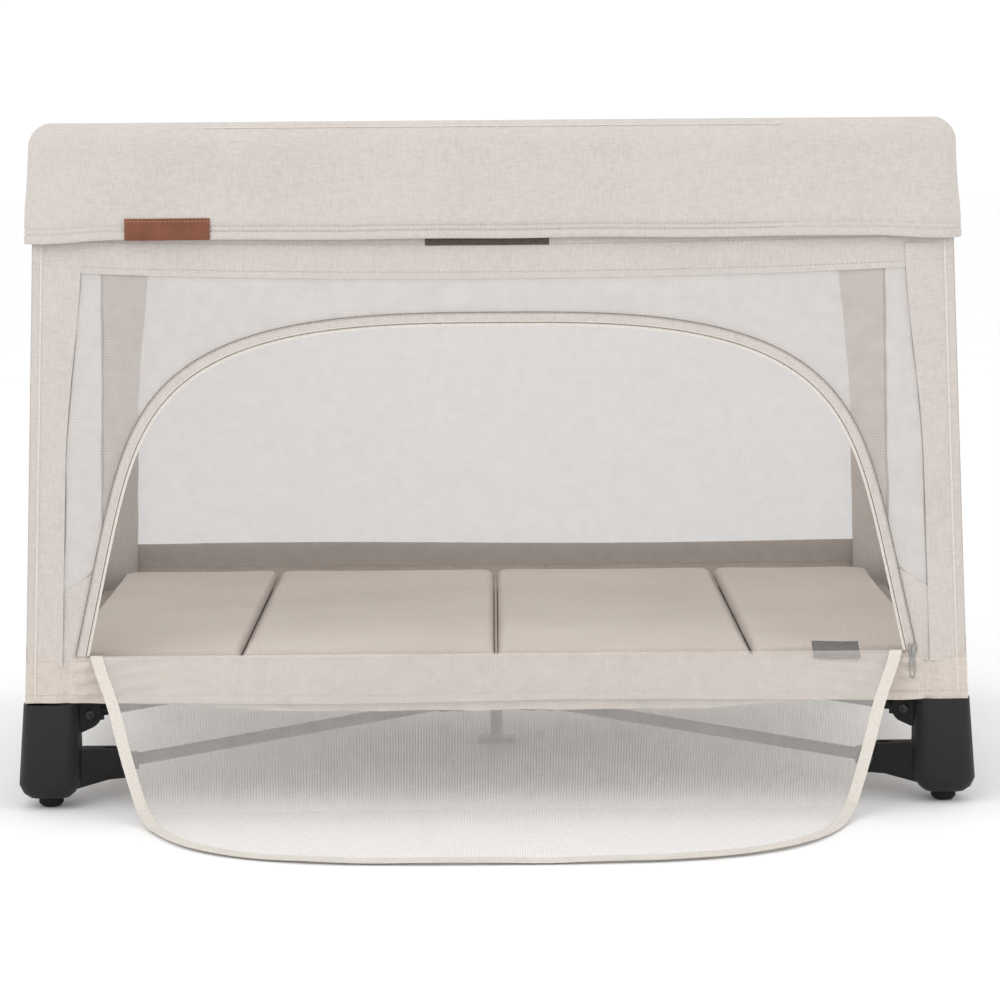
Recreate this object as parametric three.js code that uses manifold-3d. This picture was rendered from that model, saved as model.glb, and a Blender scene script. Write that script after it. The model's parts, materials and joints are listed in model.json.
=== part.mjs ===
// Travel playpen: folding frame of four posts, a central hub with parallel arms and half rails,
// fabric walls with a zip door that hangs open, and a mattress in four panels.
// Millimetres, +X to the right, +Y to the back, +Z up. The origin is on the floor under the hub.
import * as THREE from 'three';
import { mergeVertices } from 'three/addons/utils/BufferGeometryUtils.js';
import Module from 'manifold-3d';

const wasm = await Module();
wasm.setup();

// Driving dimensions
const FOOT = { x: 500, y: 345 }; // centre of each foot from the hub
const FOOT_TOP = 117.5;
const FOOT_BOTTOM = 12;
const POST_FOOT = { x: 508, y: 352, z: 118 }; // post axis where it leaves the foot
const POST_LEAN = { x: 0.0267, y: 0.05 }; // inward lean per millimetre of height
const POST_RADIUS = 12;
const RAIL_Z = 726;
const RAIL_RADIUS = 11;
const RAIL_GAP = 9; // each half rail stops this far from the middle
const LATCH = { from: 13, to: 71, half: 17 }; // housing round the end of a half rail
const ARM_RADIUS = 7;
const LOWER_PIVOT = { foot: 85, hub: 60, footZ: 38, hubZ: 56 };
const UPPER_PIVOT = { foot: 42, hub: 103, footZ: 100, hubZ: 118 };
const TONGUE = { radius: 10, thickness: 8, reach: 24 };
const FORK = { slot: 10, cheek: 5, radius: 11 };
const TUBE_START = 20; // tubes begin this far from a pivot
const WALL = { inner: 13.5, outer: 16, low: 119, high: 697 };
const COVER = { outer: 27, inner: 21, hem: 632, lining: 690, arch: 735 };
const DOOR = { halfWidth: 450, taper: 0.2, height: 368, low: 172, bend: 175, thickness: 2 };
const DOOR_FALL = { y: -72, z: -160 }; // from the sewn edge to the bend that lies on the floor
const MATTRESS = { halfX: 484, halfY: 330, low: 146, high: 169, seams: [-287, 0, 287], gap: 1 };
const GAP = 0.3;

const footReach = Math.hypot(FOOT.x, FOOT.y);
const inward = { x: FOOT.x / footReach, y: FOOT.y / footReach };
const armLength = footReach - LOWER_PIVOT.foot - LOWER_PIVOT.hub;
const RAIL_PIVOT = { x: armLength * inward.x, y: armLength * inward.y };
const postX = (z) => POST_FOOT.x - (z - POST_FOOT.z) * POST_LEAN.x;
const postY = (z) => POST_FOOT.y - (z - POST_FOOT.z) * POST_LEAN.y;
const UP = new THREE.Vector3(0, 0, 1);
const vec = (x, y, z) => new THREE.Vector3(x, y, z);

const material = (color, roughness, metalness = 0) =>
  new THREE.MeshStandardMaterial({ color, roughness, metalness });
const black = material(0x26272a, 0.55);
const rubber = material(0x141414, 0.85);
const tube = material(0x3a3b3d, 0.4, 0.7);
const heather = material(0xdbd2c9, 0.95);
const mesh = material(0xe6e2de, 0.9);
const quilt = material(0xc9bfb6, 0.9);
const nickel = material(0x8d8c8a, 0.3, 0.9);

const playpen = new THREE.Group();

function add(name, geometry, finish) {
  const piece = new THREE.Mesh(geometry, finish);
  piece.name = name;
  playpen.add(piece);
}

// Booleans
function toSolid(geometry) {
  const bare = geometry.index ? geometry.toNonIndexed() : geometry.clone();
  bare.deleteAttribute('normal');
  bare.deleteAttribute('uv');
  const merged = mergeVertices(bare, 1e-3);
  const vertProperties = new Float32Array(merged.attributes.position.array);
  const triVerts = new Uint32Array(merged.index.array);
  return new wasm.Manifold(new wasm.Mesh({ numProp: 3, vertProperties, triVerts }));
}

function toGeometry(solid) {
  const { vertProperties, triVerts } = solid.getMesh();
  const geometry = new THREE.BufferGeometry();
  geometry.setAttribute('position', new THREE.BufferAttribute(new Float32Array(vertProperties), 3));
  geometry.setIndex(new THREE.BufferAttribute(new Uint32Array(triVerts), 1));
  return geometry;
}

const join = (geometries) => toGeometry(geometries.map(toSolid).reduce((a, b) => a.add(b)));
const cut = (geometry, tools) =>
  toGeometry(tools.map(toSolid).reduce((a, b) => a.subtract(b), toSolid(geometry)));

// Basic solids
function block(centre, size) {
  const geometry = new THREE.BoxGeometry(size.x, size.y, size.z);
  return geometry.translate(centre.x, centre.y, centre.z);
}

function rod(from, to, radius, sides = 16) {
  const along = to.clone().sub(from);
  const geometry = new THREE.CylinderGeometry(radius, radius, along.length(), sides);
  const turn = new THREE.Quaternion().setFromUnitVectors(vec(0, 1, 0), along.clone().normalize());
  geometry.applyQuaternion(turn);
  const middle = from.clone().add(to).multiplyScalar(0.5);
  return geometry.translate(middle.x, middle.y, middle.z);
}

// A flat outline in the plane of axes u and v, thickened on both sides of that plane
function slab(outline, thickness, origin, u, v) {
  const shape = new THREE.Shape(outline.map(([a, b]) => new THREE.Vector2(a, b)));
  const geometry = new THREE.ExtrudeGeometry(shape, { depth: thickness, bevelEnabled: false });
  geometry.translate(0, 0, -thickness / 2);
  const place = new THREE.Matrix4().makeBasis(u, v, u.clone().cross(v)).setPosition(origin);
  return geometry.applyMatrix4(place);
}

// Rings of points joined along their order, closed by caps cut from the flat outline
function loft(rings, outline) {
  const count = outline.length;
  const positions = rings.flat().flatMap((p) => [p.x, p.y, p.z]);
  const triangles = [];
  for (let r = 0; r < rings.length - 1; r += 1) {
    for (let i = 0; i < count; i += 1) {
      const a = r * count + i;
      const b = r * count + ((i + 1) % count);
      triangles.push([a, b, b + count], [a, b + count, a + count]);
    }
  }
  const contour = outline.map(([a, b]) => new THREE.Vector2(a, b));
  const clockwise = THREE.ShapeUtils.isClockWise(contour);
  const last = (rings.length - 1) * count;
  for (const [a, b, c] of THREE.ShapeUtils.triangulateShape(contour, [])) {
    const cap = clockwise ? [a, c, b] : [a, b, c];
    triangles.push([cap[2], cap[1], cap[0]], cap.map((i) => i + last));
  }
  const at = (i) => vec(positions[3 * i], positions[3 * i + 1], positions[3 * i + 2]);
  const volume = triangles.reduce((sum, [a, b, c]) => sum + at(a).dot(at(b).cross(at(c))), 0);
  const facing = volume < 0 ? triangles.map(([a, b, c]) => [a, c, b]) : triangles;
  const geometry = new THREE.BufferGeometry();
  geometry.setAttribute('position', new THREE.Float32BufferAttribute(positions, 3));
  geometry.setIndex(facing.flat());
  return geometry;
}

function roundedOutline(halfX, halfY, radius, steps = 4) {
  const points = [];
  for (const [sx, sy, start] of [[1, 1, 0], [-1, 1, 90], [-1, -1, 180], [1, -1, 270]]) {
    for (let i = 0; i <= steps; i += 1) {
      const angle = THREE.MathUtils.degToRad(start + (90 * i) / steps);
      const x = sx * (halfX - radius) + radius * Math.cos(angle);
      points.push([x, sy * (halfY - radius) + radius * Math.sin(angle)]);
    }
  }
  return points;
}

function arc(cx, cy, radius, fromDeg, toDeg, steps = 8) {
  return Array.from({ length: steps + 1 }, (_, i) => {
    const angle = THREE.MathUtils.degToRad(fromDeg + ((toDeg - fromDeg) * i) / steps);
    return [cx + radius * Math.cos(angle), cy + radius * Math.sin(angle)];
  });
}

// Hinge ends: a tongue turns in the slot between the two cheeks of a fork
function lug(pivot, toBody, radius, length, thickness, aside = 0) {
  const side = UP.clone().cross(toBody);
  const outline = [[length, -radius], [length, radius], ...arc(0, 0, radius, 90, 270)];
  return slab(outline, thickness, pivot.clone().addScaledVector(side, aside), toBody, UP);
}

const tongue = (pivot, toBody) =>
  lug(pivot, toBody, TONGUE.radius, TONGUE.reach, TONGUE.thickness);

function fork(pivot, toBody, length) {
  const aside = (FORK.slot + FORK.cheek) / 2;
  return [-aside, aside].map((a) => lug(pivot, toBody, FORK.radius, length, FORK.cheek, a));
}

function slot(centre, along, length, height) {
  const outline = [[-length / 2, -height / 2], [length / 2, -height / 2],
    [length / 2, height / 2], [-length / 2, height / 2]];
  return slab(outline, FORK.slot, centre, along, UP);
}

function barWithTongues(from, to) {
  const along = to.clone().sub(from).normalize();
  const level = vec(along.x, along.y, 0).normalize();
  const start = from.clone().addScaledVector(along, TUBE_START);
  const end = to.clone().addScaledVector(along, -TUBE_START);
  const ends = [tongue(from, level), tongue(to, level.clone().negate())];
  return join([rod(start, end, ARM_RADIUS), ...ends]);
}

// Hub and its foot
const directions = {
  front_left: [-1, -1], front_right: [1, -1], rear_left: [-1, 1], rear_right: [1, 1],
};
const outwards = ([sx, sy]) => vec(sx * inward.x, sy * inward.y, 0);
const along = (direction, reach, z) => direction.clone().multiplyScalar(reach).setZ(z);

const HUB_PROFILE = [
  [0, 48], [36, 48], [48, 54], [51, 64], [52, 92], [82, 104], [88, 110], [88, 126], [84, 130], [0, 130],
];

function makeHub() {
  const profile = HUB_PROFILE.map(([r, z]) => new THREE.Vector2(r, z));
  const bowl = new THREE.LatheGeometry(profile, 32).rotateX(Math.PI / 2);
  const solids = [bowl];
  const slots = [];
  for (const corner of Object.values(directions)) {
    const out = outwards(corner);
    const back = out.clone().negate();
    solids.push(...fork(along(out, LOWER_PIVOT.hub, LOWER_PIVOT.hubZ), back, 20));
    solids.push(...fork(along(out, UPPER_PIVOT.hub, UPPER_PIVOT.hubZ), back, 24));
    slots.push(slot(along(out, 66, 58), out, 40, 34));
    slots.push(slot(along(out, 104, 118), out, 40, 40));
  }
  return cut(join(solids), slots);
}

add('hub', makeHub(), black);
add('center_foot', join([
  block(vec(0, 0, 3), vec(46, 30, 6)),
  block(vec(0, 0, 26.5), vec(14, 12, 42.4)),
]), black);

// Feet, pads, arms, posts and top corners
const COLUMN = [
  { z: FOOT_BOTTOM, half: 22 }, { z: 18, half: 29 }, { z: 28, half: 33.5 }, { z: FOOT_TOP, half: 30 },
];

function makeFoot(corner) {
  const out = outwards(corner);
  const back = out.clone().negate();
  const outlines = COLUMN.map(({ half }) => roundedOutline(half, half, half * 0.5));
  const lean = (z) => (z - FOOT_BOTTOM) * POST_LEAN.x;
  const rings = outlines.map((outline, i) => outline.map(([x, y]) => {
    const { z } = COLUMN[i];
    return vec(corner[0] * (FOOT.x - lean(z)) + x, corner[1] * (FOOT.y - lean(z)) + y, z);
  }));
  const column = loft(rings, outlines[0]);
  const origin = along(out, footReach, 0);
  const arm = [[0, 14], [66, 23], ...arc(LOWER_PIVOT.foot, LOWER_PIVOT.footZ, 17, -70, 80), [26, 62], [0, 62]];
  const ear = [[0, 80], [34, 81], ...arc(UPPER_PIVOT.foot, UPPER_PIVOT.footZ, 16, -80, 80), [30, 117], [0, 117]];
  const solid = join([
    column, slab(arm, 28, origin, back, UP), slab(ear, 28, origin, back, UP),
  ]);
  return cut(solid, [
    slot(along(out, footReach - 94, 42), out, 52, 60),
    slot(along(out, footReach - 54, 100), out, 52, 36),
  ]);
}

const PAD_PROFILE = [[0, 0], [10, 0], [14, 4], [14, 11.7], [0, 11.7]];

function makePad([sx, sy]) {
  const profile = PAD_PROFILE.map(([r, z]) => new THREE.Vector2(r, z));
  const pad = new THREE.LatheGeometry(profile, 20).rotateX(Math.PI / 2);
  return pad.translate(sx * FOOT.x, sy * FOOT.y, 0);
}

const TOP_BLOCK = { low: 700, high: 742, half: 16 };

function makeTopCorner([sx, sy]) {
  const x = postX(RAIL_Z);
  const y = postY(RAIL_Z);
  const post = vec(sx * x, sy * y, RAIL_Z);
  const solids = [block(
    vec(sx * x, sy * y, (TOP_BLOCK.low + TOP_BLOCK.high) / 2),
    vec(2 * TOP_BLOCK.half, 2 * TOP_BLOCK.half, TOP_BLOCK.high - TOP_BLOCK.low),
  )];
  const pivots = [vec(sx * RAIL_PIVOT.x, sy * y, RAIL_Z), vec(sx * x, sy * RAIL_PIVOT.y, RAIL_Z)];
  for (const pivot of pivots) {
    const toPost = post.clone().sub(pivot).normalize();
    solids.push(rod(post, pivot.clone().addScaledVector(toPost, TUBE_START), 11.5));
    solids.push(...fork(pivot, toPost, TONGUE.reach));
  }
  return join(solids);
}

for (const [name, corner] of Object.entries(directions)) {
  const out = outwards(corner);
  const [sx, sy] = corner;
  add(`foot_${name}`, makeFoot(corner), black);
  add(`foot_pad_${name}`, makePad(corner), rubber);
  const lower = LOWER_PIVOT;
  const upper = UPPER_PIVOT;
  const hubLow = along(out, lower.hub, lower.hubZ);
  const hubHigh = along(out, upper.hub, upper.hubZ);
  add(`arm_${name}`, barWithTongues(hubLow, along(out, footReach - lower.foot, lower.footZ)), tube);
  add(`brace_${name}`, barWithTongues(hubHigh, along(out, footReach - upper.foot, upper.footZ)), tube);
  const postEnds = [119.3, 698.8].map((z) => vec(sx * postX(z), sy * postY(z), z));
  add(`post_${name}`, rod(...postEnds, POST_RADIUS), tube);
  add(`top_corner_${name}`, makeTopCorner(corner), black);
}

// Half rails, latches and padded covers
const sides = {
  front_left: { axis: 'x', along: -1, across: -1 }, front_right: { axis: 'x', along: 1, across: -1 },
  rear_left: { axis: 'x', along: -1, across: 1 }, rear_right: { axis: 'x', along: 1, across: 1 },
  left_front: { axis: 'y', along: -1, across: -1 }, left_rear: { axis: 'y', along: 1, across: -1 },
  right_front: { axis: 'y', along: -1, across: 1 }, right_rear: { axis: 'y', along: 1, across: 1 },
};
const onSide = (side, a, b, z) => (side.axis === 'x' ? vec(a, b, z) : vec(b, a, z));
const railAcross = (side) => side.across * (side.axis === 'x' ? postY(RAIL_Z) : postX(RAIL_Z));
const coverSection = [
  [COVER.outer, COVER.hem], ...arc(0, COVER.arch, COVER.outer, 0, 180, 10), [-COVER.outer, COVER.lining],
  [-COVER.inner, COVER.lining], ...arc(0, COVER.arch, COVER.inner, 180, 0, 10), [COVER.inner, COVER.hem],
];

function makeRail(side) {
  const reach = RAIL_PIVOT[side.axis];
  const across = railAcross(side);
  const pivot = onSide(side, side.along * reach, across, RAIL_Z);
  const start = onSide(side, side.along * (reach - TUBE_START), across, RAIL_Z);
  const end = onSide(side, side.along * RAIL_GAP, across, RAIL_Z);
  const toRail = end.clone().sub(pivot).normalize();
  return join([rod(start, end, RAIL_RADIUS), tongue(pivot, toRail)]);
}

function makeLatch(side) {
  const across = railAcross(side);
  const middle = (side.along * (LATCH.from + LATCH.to)) / 2;
  const size = onSide(side, LATCH.to - LATCH.from, 2 * LATCH.half, 2 * LATCH.half);
  const housing = block(onSide(side, middle, across, RAIL_Z), size);
  const bore = [LATCH.from - RAIL_GAP, LATCH.to + RAIL_GAP].map((a) =>
    onSide(side, side.along * a, across, RAIL_Z));
  return cut(housing, [rod(...bore, RAIL_RADIUS + GAP)]);
}

function makeCover(side) {
  const ends = [side.along * 0.5, side.along * (RAIL_PIVOT[side.axis] - GAP)];
  const rings = ends.map((a) => coverSection.map(([n, z]) =>
    onSide(side, a, railAcross(side) + side.across * n, z)));
  return loft(rings, coverSection);
}

function makeCornerCover([sx, sy]) {
  const x = postX(RAIL_Z);
  const y = postY(RAIL_Z);
  const rings = [
    coverSection.map(([n, z]) => vec(sx * RAIL_PIVOT.x, sy * (y + n), z)),
    coverSection.map(([n, z]) => vec(sx * (x + n), sy * (y + n), z)),
    coverSection.map(([n, z]) => vec(sx * (x + n), sy * RAIL_PIVOT.y, z)),
  ];
  return loft(rings, coverSection);
}

for (const [name, side] of Object.entries(sides)) {
  add(`rail_${name}`, makeRail(side), tube);
  add(`rail_cover_${name}`, makeCover(side), heather);
}
add('rail_latch_front', makeLatch(sides.front_left), black);
add('rail_latch_rear', makeLatch(sides.rear_left), black);
for (const [name, corner] of Object.entries(directions)) {
  add(`corner_cover_${name}`, makeCornerCover(corner), heather);
}

// Fabric walls: thin sheets in planes that lean with the posts
const onFront = (across, offset) => ([x, z]) => vec(x, across * (postY(z) + offset), z);
const onEnd = (across, offset) => ([y, z]) => vec(across * (postX(z) + offset), y, z);
const wall = (outline, surface) =>
  loft([outline.map(surface(WALL.inner)), outline.map(surface(WALL.outer))], outline);
const fullOutline = (half) => [
  [-half(WALL.low), WALL.low], [half(WALL.low), WALL.low], [half(WALL.high), WALL.high],
  [-half(WALL.high), WALL.high],
];
const halfWidthX = (z) => postX(z) + WALL.inner - GAP;
const halfWidthY = (z) => postY(z) + WALL.inner - GAP;

add('rear_wall', wall(fullOutline(halfWidthX), (n) => onFront(1, n)), mesh);
add('left_wall', wall(fullOutline(halfWidthY), (n) => onEnd(-1, n)), mesh);
add('right_wall', wall(fullOutline(halfWidthY), (n) => onEnd(1, n)), mesh);

// Half width of the door at a height t above its sewn edge
const doorHalf = (t) =>
  (DOOR.halfWidth - DOOR.taper * t) * Math.max(0, 1 - (t / DOOR.height) ** 6) ** (1 / 3);

const doorHeights = [0, 60, 120, 175, 230, 275, 310, 335, 352, 362, 366.5, 368];

for (const [name, sign] of [['front_left', -1], ['front_right', 1]]) {
  const opening = doorHeights.map((t) => [sign * Math.max(GAP, doorHalf(t)), DOOR.low + t]);
  const outline = [
    [sign * GAP, WALL.low], [sign * halfWidthX(WALL.low), WALL.low],
    [sign * halfWidthX(WALL.high), WALL.high], [sign * GAP, WALL.high],
    ...opening.reverse(), [sign * GAP, DOOR.low],
  ];
  add(`front_wall_${name.slice(6)}`, wall(outline, (n) => onFront(-1, n)), mesh);
}

// Door flap: it hangs from the lower band to the floor, and its far half lies on the floor
const hinge = { y: -(postY(DOOR.low) + WALL.outer + 3), z: DOOR.low };
const bendLine = { y: hinge.y + DOOR_FALL.y, z: hinge.z + DOOR_FALL.z };
const farLine = { y: bendLine.y - (DOOR.height - DOOR.bend) + 1, z: 3 };

function makeFlap(from, to, t0, t1) {
  const length = Math.hypot(to.y - from.y, to.z - from.z);
  const inPlane = vec(0, (to.y - from.y) / length, (to.z - from.z) / length);
  const heights = [t0, ...doorHeights.filter((t) => t > t0 && t < t1), t1];
  const right = heights.map((t) => [Math.max(30, doorHalf(t)), ((t - t0) / (t1 - t0)) * length]);
  const outline = [...right, ...right.slice().reverse().map(([x, s]) => [-x, s])];
  return slab(outline, DOOR.thickness, vec(0, from.y, from.z), vec(1, 0, 0), inPlane);
}

const pastBend = 1; // the two halves stop this far short of each other
add('door_upper', makeFlap(hinge, { y: bendLine.y, z: bendLine.z + pastBend }, 3, DOOR.bend), mesh);
add('door_lower', makeFlap({ y: bendLine.y - 3, z: bendLine.z - 6 }, farLine, DOOR.bend, DOOR.height), mesh);

// Zip pull, hanging at the right end of the zip
const PULL = { x: 462, top: 166, bottom: 140, width: 7, thickness: 1.6 };
const pullY = -(postY(PULL.top) + WALL.outer + 3);
add('zip_pull', block(
  vec(PULL.x, pullY, (PULL.top + PULL.bottom) / 2),
  vec(PULL.width, PULL.thickness, PULL.top - PULL.bottom),
), nickel);

// Mattress panels, joined along their top seams
const seams = [-MATTRESS.halfX, ...MATTRESS.seams, MATTRESS.halfX];
for (let i = 1; i < seams.length; i += 1) {
  add(`mattress_panel_${i}`, block(
    vec((seams[i - 1] + seams[i]) / 2, 0, (MATTRESS.low + MATTRESS.high) / 2),
    vec(seams[i] - seams[i - 1] - MATTRESS.gap, 2 * MATTRESS.halfY, MATTRESS.high - MATTRESS.low),
  ), quilt);
}

export default playpen;
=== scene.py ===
"""Travel playpen: fabric, padding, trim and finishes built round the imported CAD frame.

Metres, +X right, +Y back, +Z up, with the origin on the floor under the hub.
"""
import json
import math

import bmesh
import bpy
import numpy as np
from mathutils import Matrix, Vector, noise


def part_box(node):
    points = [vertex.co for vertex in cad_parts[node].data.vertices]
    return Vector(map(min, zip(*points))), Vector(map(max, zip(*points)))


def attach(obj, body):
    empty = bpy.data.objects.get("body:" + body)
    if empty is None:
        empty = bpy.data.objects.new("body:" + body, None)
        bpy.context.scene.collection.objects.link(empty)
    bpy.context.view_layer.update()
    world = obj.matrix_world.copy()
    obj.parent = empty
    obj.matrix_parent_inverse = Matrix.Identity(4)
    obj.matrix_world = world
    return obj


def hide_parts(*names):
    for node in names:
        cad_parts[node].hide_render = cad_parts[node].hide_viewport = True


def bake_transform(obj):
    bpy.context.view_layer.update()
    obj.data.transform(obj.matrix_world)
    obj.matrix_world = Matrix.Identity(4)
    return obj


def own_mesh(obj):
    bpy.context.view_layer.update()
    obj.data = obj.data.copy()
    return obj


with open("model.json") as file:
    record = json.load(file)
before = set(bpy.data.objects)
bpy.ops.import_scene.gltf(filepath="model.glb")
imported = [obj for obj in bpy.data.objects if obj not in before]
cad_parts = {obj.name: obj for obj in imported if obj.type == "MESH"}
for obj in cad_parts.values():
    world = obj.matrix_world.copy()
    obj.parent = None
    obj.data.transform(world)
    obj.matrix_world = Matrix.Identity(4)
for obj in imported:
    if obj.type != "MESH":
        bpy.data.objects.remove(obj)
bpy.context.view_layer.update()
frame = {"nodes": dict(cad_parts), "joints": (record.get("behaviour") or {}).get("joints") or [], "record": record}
JOINTS = {joint["name"]: joint for joint in frame["joints"]}
FOLD = "fold_arm_front_left"
CORNERS = {
    "front_left": (-1, -1), "front_right": (1, -1), "rear_left": (-1, 1), "rear_right": (1, 1),
}

# Frame lines that the fabric follows
POST_RADIUS = 0.012
post_low, post_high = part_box("post_front_right")
rail_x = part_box("rail_right_front")
rail_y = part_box("rail_front_right")
RAIL_X = (rail_x[0].x + rail_x[1].x) / 2
RAIL_Y = -(rail_y[0].y + rail_y[1].y) / 2
COVER_LOW, COVER_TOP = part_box("rail_cover_front_left")[0].z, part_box("rail_cover_front_left")[1].z
PIVOT_X = -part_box("rail_cover_front_left")[0].x
PIVOT_Y = -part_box("rail_cover_left_front")[0].y
COVER_OUT = -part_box("rail_cover_front_left")[0].y - RAIL_Y
WALL_OFFSET = 0.0148  # fabric surface from the post axis
BAND_LOW, BAND_TOP = 0.1185, 0.169
REAR_BAND_TOP = 0.198
WALL_TOP = 0.700
HEADER_LOW = 0.593


def post_line(low, high, z):
    share = (z - post_low.z) / (post_high.z - post_low.z)
    return low + (high - low) * share


def post_x(z):
    return post_line(post_high.x - POST_RADIUS, post_low.x + POST_RADIUS, z)


def post_y(z):
    return post_line(-post_low.y - POST_RADIUS, -post_high.y + POST_RADIUS, z)


# ---------------------------------------------------------------- materials
def tint(color, factor):
    """The colour made paler or darker."""
    return (*(min(1.0, factor * c) for c in color[:3]), 1.0)


def srgb(*values):
    """Linear colour from 0-255 display values."""
    shares = [v / 255 for v in values]
    linear = [s / 12.92 if s <= 0.04045 else ((s + 0.055) / 1.055) ** 2.4 for s in shares]
    return (*linear, 1.0)


class Finish:
    """A Principled material with small helpers for its node tree."""

    def __init__(self, name, roughness, metallic=0.0, sheen=0.0, specular=0.5):
        self.material = bpy.data.materials.new(name)
        self.material.use_nodes = True
        self.tree = self.material.node_tree
        self.shader = self.tree.nodes["Principled BSDF"]
        values = {"Roughness": roughness, "Metallic": metallic, "Specular IOR Level": specular}
        if sheen:
            values.update({"Sheen Weight": sheen, "Sheen Roughness": 0.5})
        for key, value in values.items():
            self.shader.inputs[key].default_value = value
        self.place = self.node("TexCoord").outputs["Object"]

    def node(self, kind, **values):
        made = self.tree.nodes.new("ShaderNode" + kind)
        for key, value in values.items():
            made.inputs[key].default_value = value
        return made

    def link(self, source, target):
        self.tree.links.new(source, target)

    def scaled(self, scale):
        node = self.node("Mapping", Scale=scale)
        self.link(self.place, node.inputs["Vector"])
        return node.outputs["Vector"]

    def noise(self, scale, detail=2.0, roughness=0.5):
        """Noise with features about 1/scale metres long on each axis."""
        node = self.node("TexNoise", Scale=1.0, Detail=detail, Roughness=roughness)
        self.link(self.scaled(scale), node.inputs["Vector"])
        return node.outputs["Fac"]

    def math(self, kind, a, b=None):
        node = self.node("Math")
        node.operation = kind
        for socket, value in zip(node.inputs, (a, b)):
            if isinstance(value, (int, float)):
                socket.default_value = value
            elif value is not None:
                self.link(value, socket)
        return node.outputs[0]

    def axes(self):
        split = self.node("SeparateXYZ")
        self.link(self.place, split.inputs[0])
        return split.outputs

    def waves(self, kind, turns, *axes):
        return [self.math(kind, self.math("MULTIPLY", axis, turns)) for axis in axes]

    def weave(self, thread, flat=False):
        """Over-and-under threads: across and up on a wall, or along X and Y on a flat pad."""
        x, y, z = self.axes()
        across = x if flat else self.math("ADD", x, y)
        return self.math("MULTIPLY", *self.waves("SINE", math.pi / thread, across, y if flat else z))

    def two_tone(self, factor, low, dark, high, light):
        """Base colour that runs from dark, where factor is low, to light."""
        node = self.node("ValToRGB")
        for element, position, color in zip(node.color_ramp.elements, (low, high), (dark, light)):
            element.position, element.color = position, color
        self.link(factor, node.inputs["Fac"])
        self.link(node.outputs["Color"], self.shader.inputs["Base Color"])

    def bump(self, height, distance, strength=1.0):
        node = self.node("Bump", Distance=distance, Strength=strength)
        self.link(height, node.inputs["Height"])
        previous = self.shader.inputs["Normal"].links
        if previous:
            self.link(previous[0].from_socket, node.inputs["Normal"])
        self.link(node.outputs["Normal"], self.shader.inputs["Normal"])


def make_heather(name, light, dark, thread=0.0011):
    """Melange cloth: pale and darker threads run both ways, with a plain weave."""
    finish = Finish(name, 0.92, sheen=0.25, specular=0.15)
    weft = finish.noise((110, 110, 700), 3)
    warp = finish.noise((620, 620, 90), 3)
    cloud = finish.noise((9, 9, 9), 2)
    threads = finish.math("ADD", weft, warp)
    mixed = finish.math("ADD", threads, finish.math("MULTIPLY", cloud, 0.35))
    finish.two_tone(finish.math("MULTIPLY", mixed, 0.43), 0.36, dark, 0.58, light)
    finish.bump(finish.weave(thread), 0.00022, 0.6)
    finish.bump(threads, 0.0004, 0.5)
    return finish.material


def make_net(name, color, cover, contrast, drop=False, pitch=0.0017):
    """Knitted net with square holes; drop is for a net that runs down and then along the floor."""
    finish = Finish(name, 0.85, specular=0.15)
    shade = finish.noise((60, 60, 60), 2)
    finish.two_tone(shade, 0.3, tint(color, 0.9), 0.7, color)
    x, y, z = finish.axes()
    across = x if drop else finish.math("ADD", x, y)
    up = finish.math("ADD", y, z) if drop else z
    waves = finish.waves("COSINE", 2 * math.pi / pitch, across, up)
    holes = finish.math("MULTIPLY", finish.math("ADD", *waves), contrast / 2)
    finish.link(finish.math("ADD", holes, cover), finish.shader.inputs["Alpha"])
    return finish.material


def make_plastic(name, color, roughness):
    finish = Finish(name, roughness, specular=0.32)
    tone = finish.noise((14, 14, 14), 3)
    finish.two_tone(tone, 0.3, color, 0.75, tint(color, 1.3))
    grain = finish.noise((1400, 1400, 1400), 2)
    finish.bump(grain, 0.00012, 0.35)
    worn = finish.math("MULTIPLY", finish.noise((30, 30, 30), 3), 0.16)
    finish.link(finish.math("ADD", worn, roughness - 0.08), finish.shader.inputs["Roughness"])
    return finish.material


def make_tape(name, light, dark):
    finish = Finish(name, 0.8, sheen=0.2, specular=0.2)
    ribs = finish.noise((500, 500, 500), 2)
    finish.two_tone(ribs, 0.3, dark, 0.65, light)
    finish.bump(finish.weave(0.0008), 0.0002, 0.5)
    return finish.material


def make_leather(name, light, dark):
    finish = Finish(name, 0.55, specular=0.35)
    tone = finish.noise((45, 45, 45), 4, 0.6)
    finish.two_tone(tone, 0.25, dark, 0.75, light)
    cells = finish.node("TexVoronoi", Scale=900)
    finish.link(finish.place, cells.inputs["Vector"])
    finish.bump(cells.outputs["Distance"], 0.0002, 0.5)
    return finish.material


def make_metal(name, color, roughness):
    finish = Finish(name, roughness, metallic=1.0)
    smear = finish.noise((90, 90, 400), 3)
    finish.two_tone(smear, 0.3, color, 0.7, tint(color, 1.25))
    finish.bump(smear, 0.0001, 0.3)
    return finish.material


def make_quilt(name, light, dark):
    """Smooth soft knit of the mattress."""
    finish = Finish(name, 0.9, sheen=0.2, specular=0.15)
    fibres = finish.noise((700, 260, 400), 3)
    cloud = finish.noise((6, 6, 6), 2)
    mixed = finish.math("ADD", finish.math("MULTIPLY", fibres, 0.6), finish.math("MULTIPLY", cloud, 0.4))
    finish.two_tone(mixed, 0.35, dark, 0.65, light)
    finish.bump(finish.weave(0.0012, flat=True), 0.0001, 0.4)
    return finish.material


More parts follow.
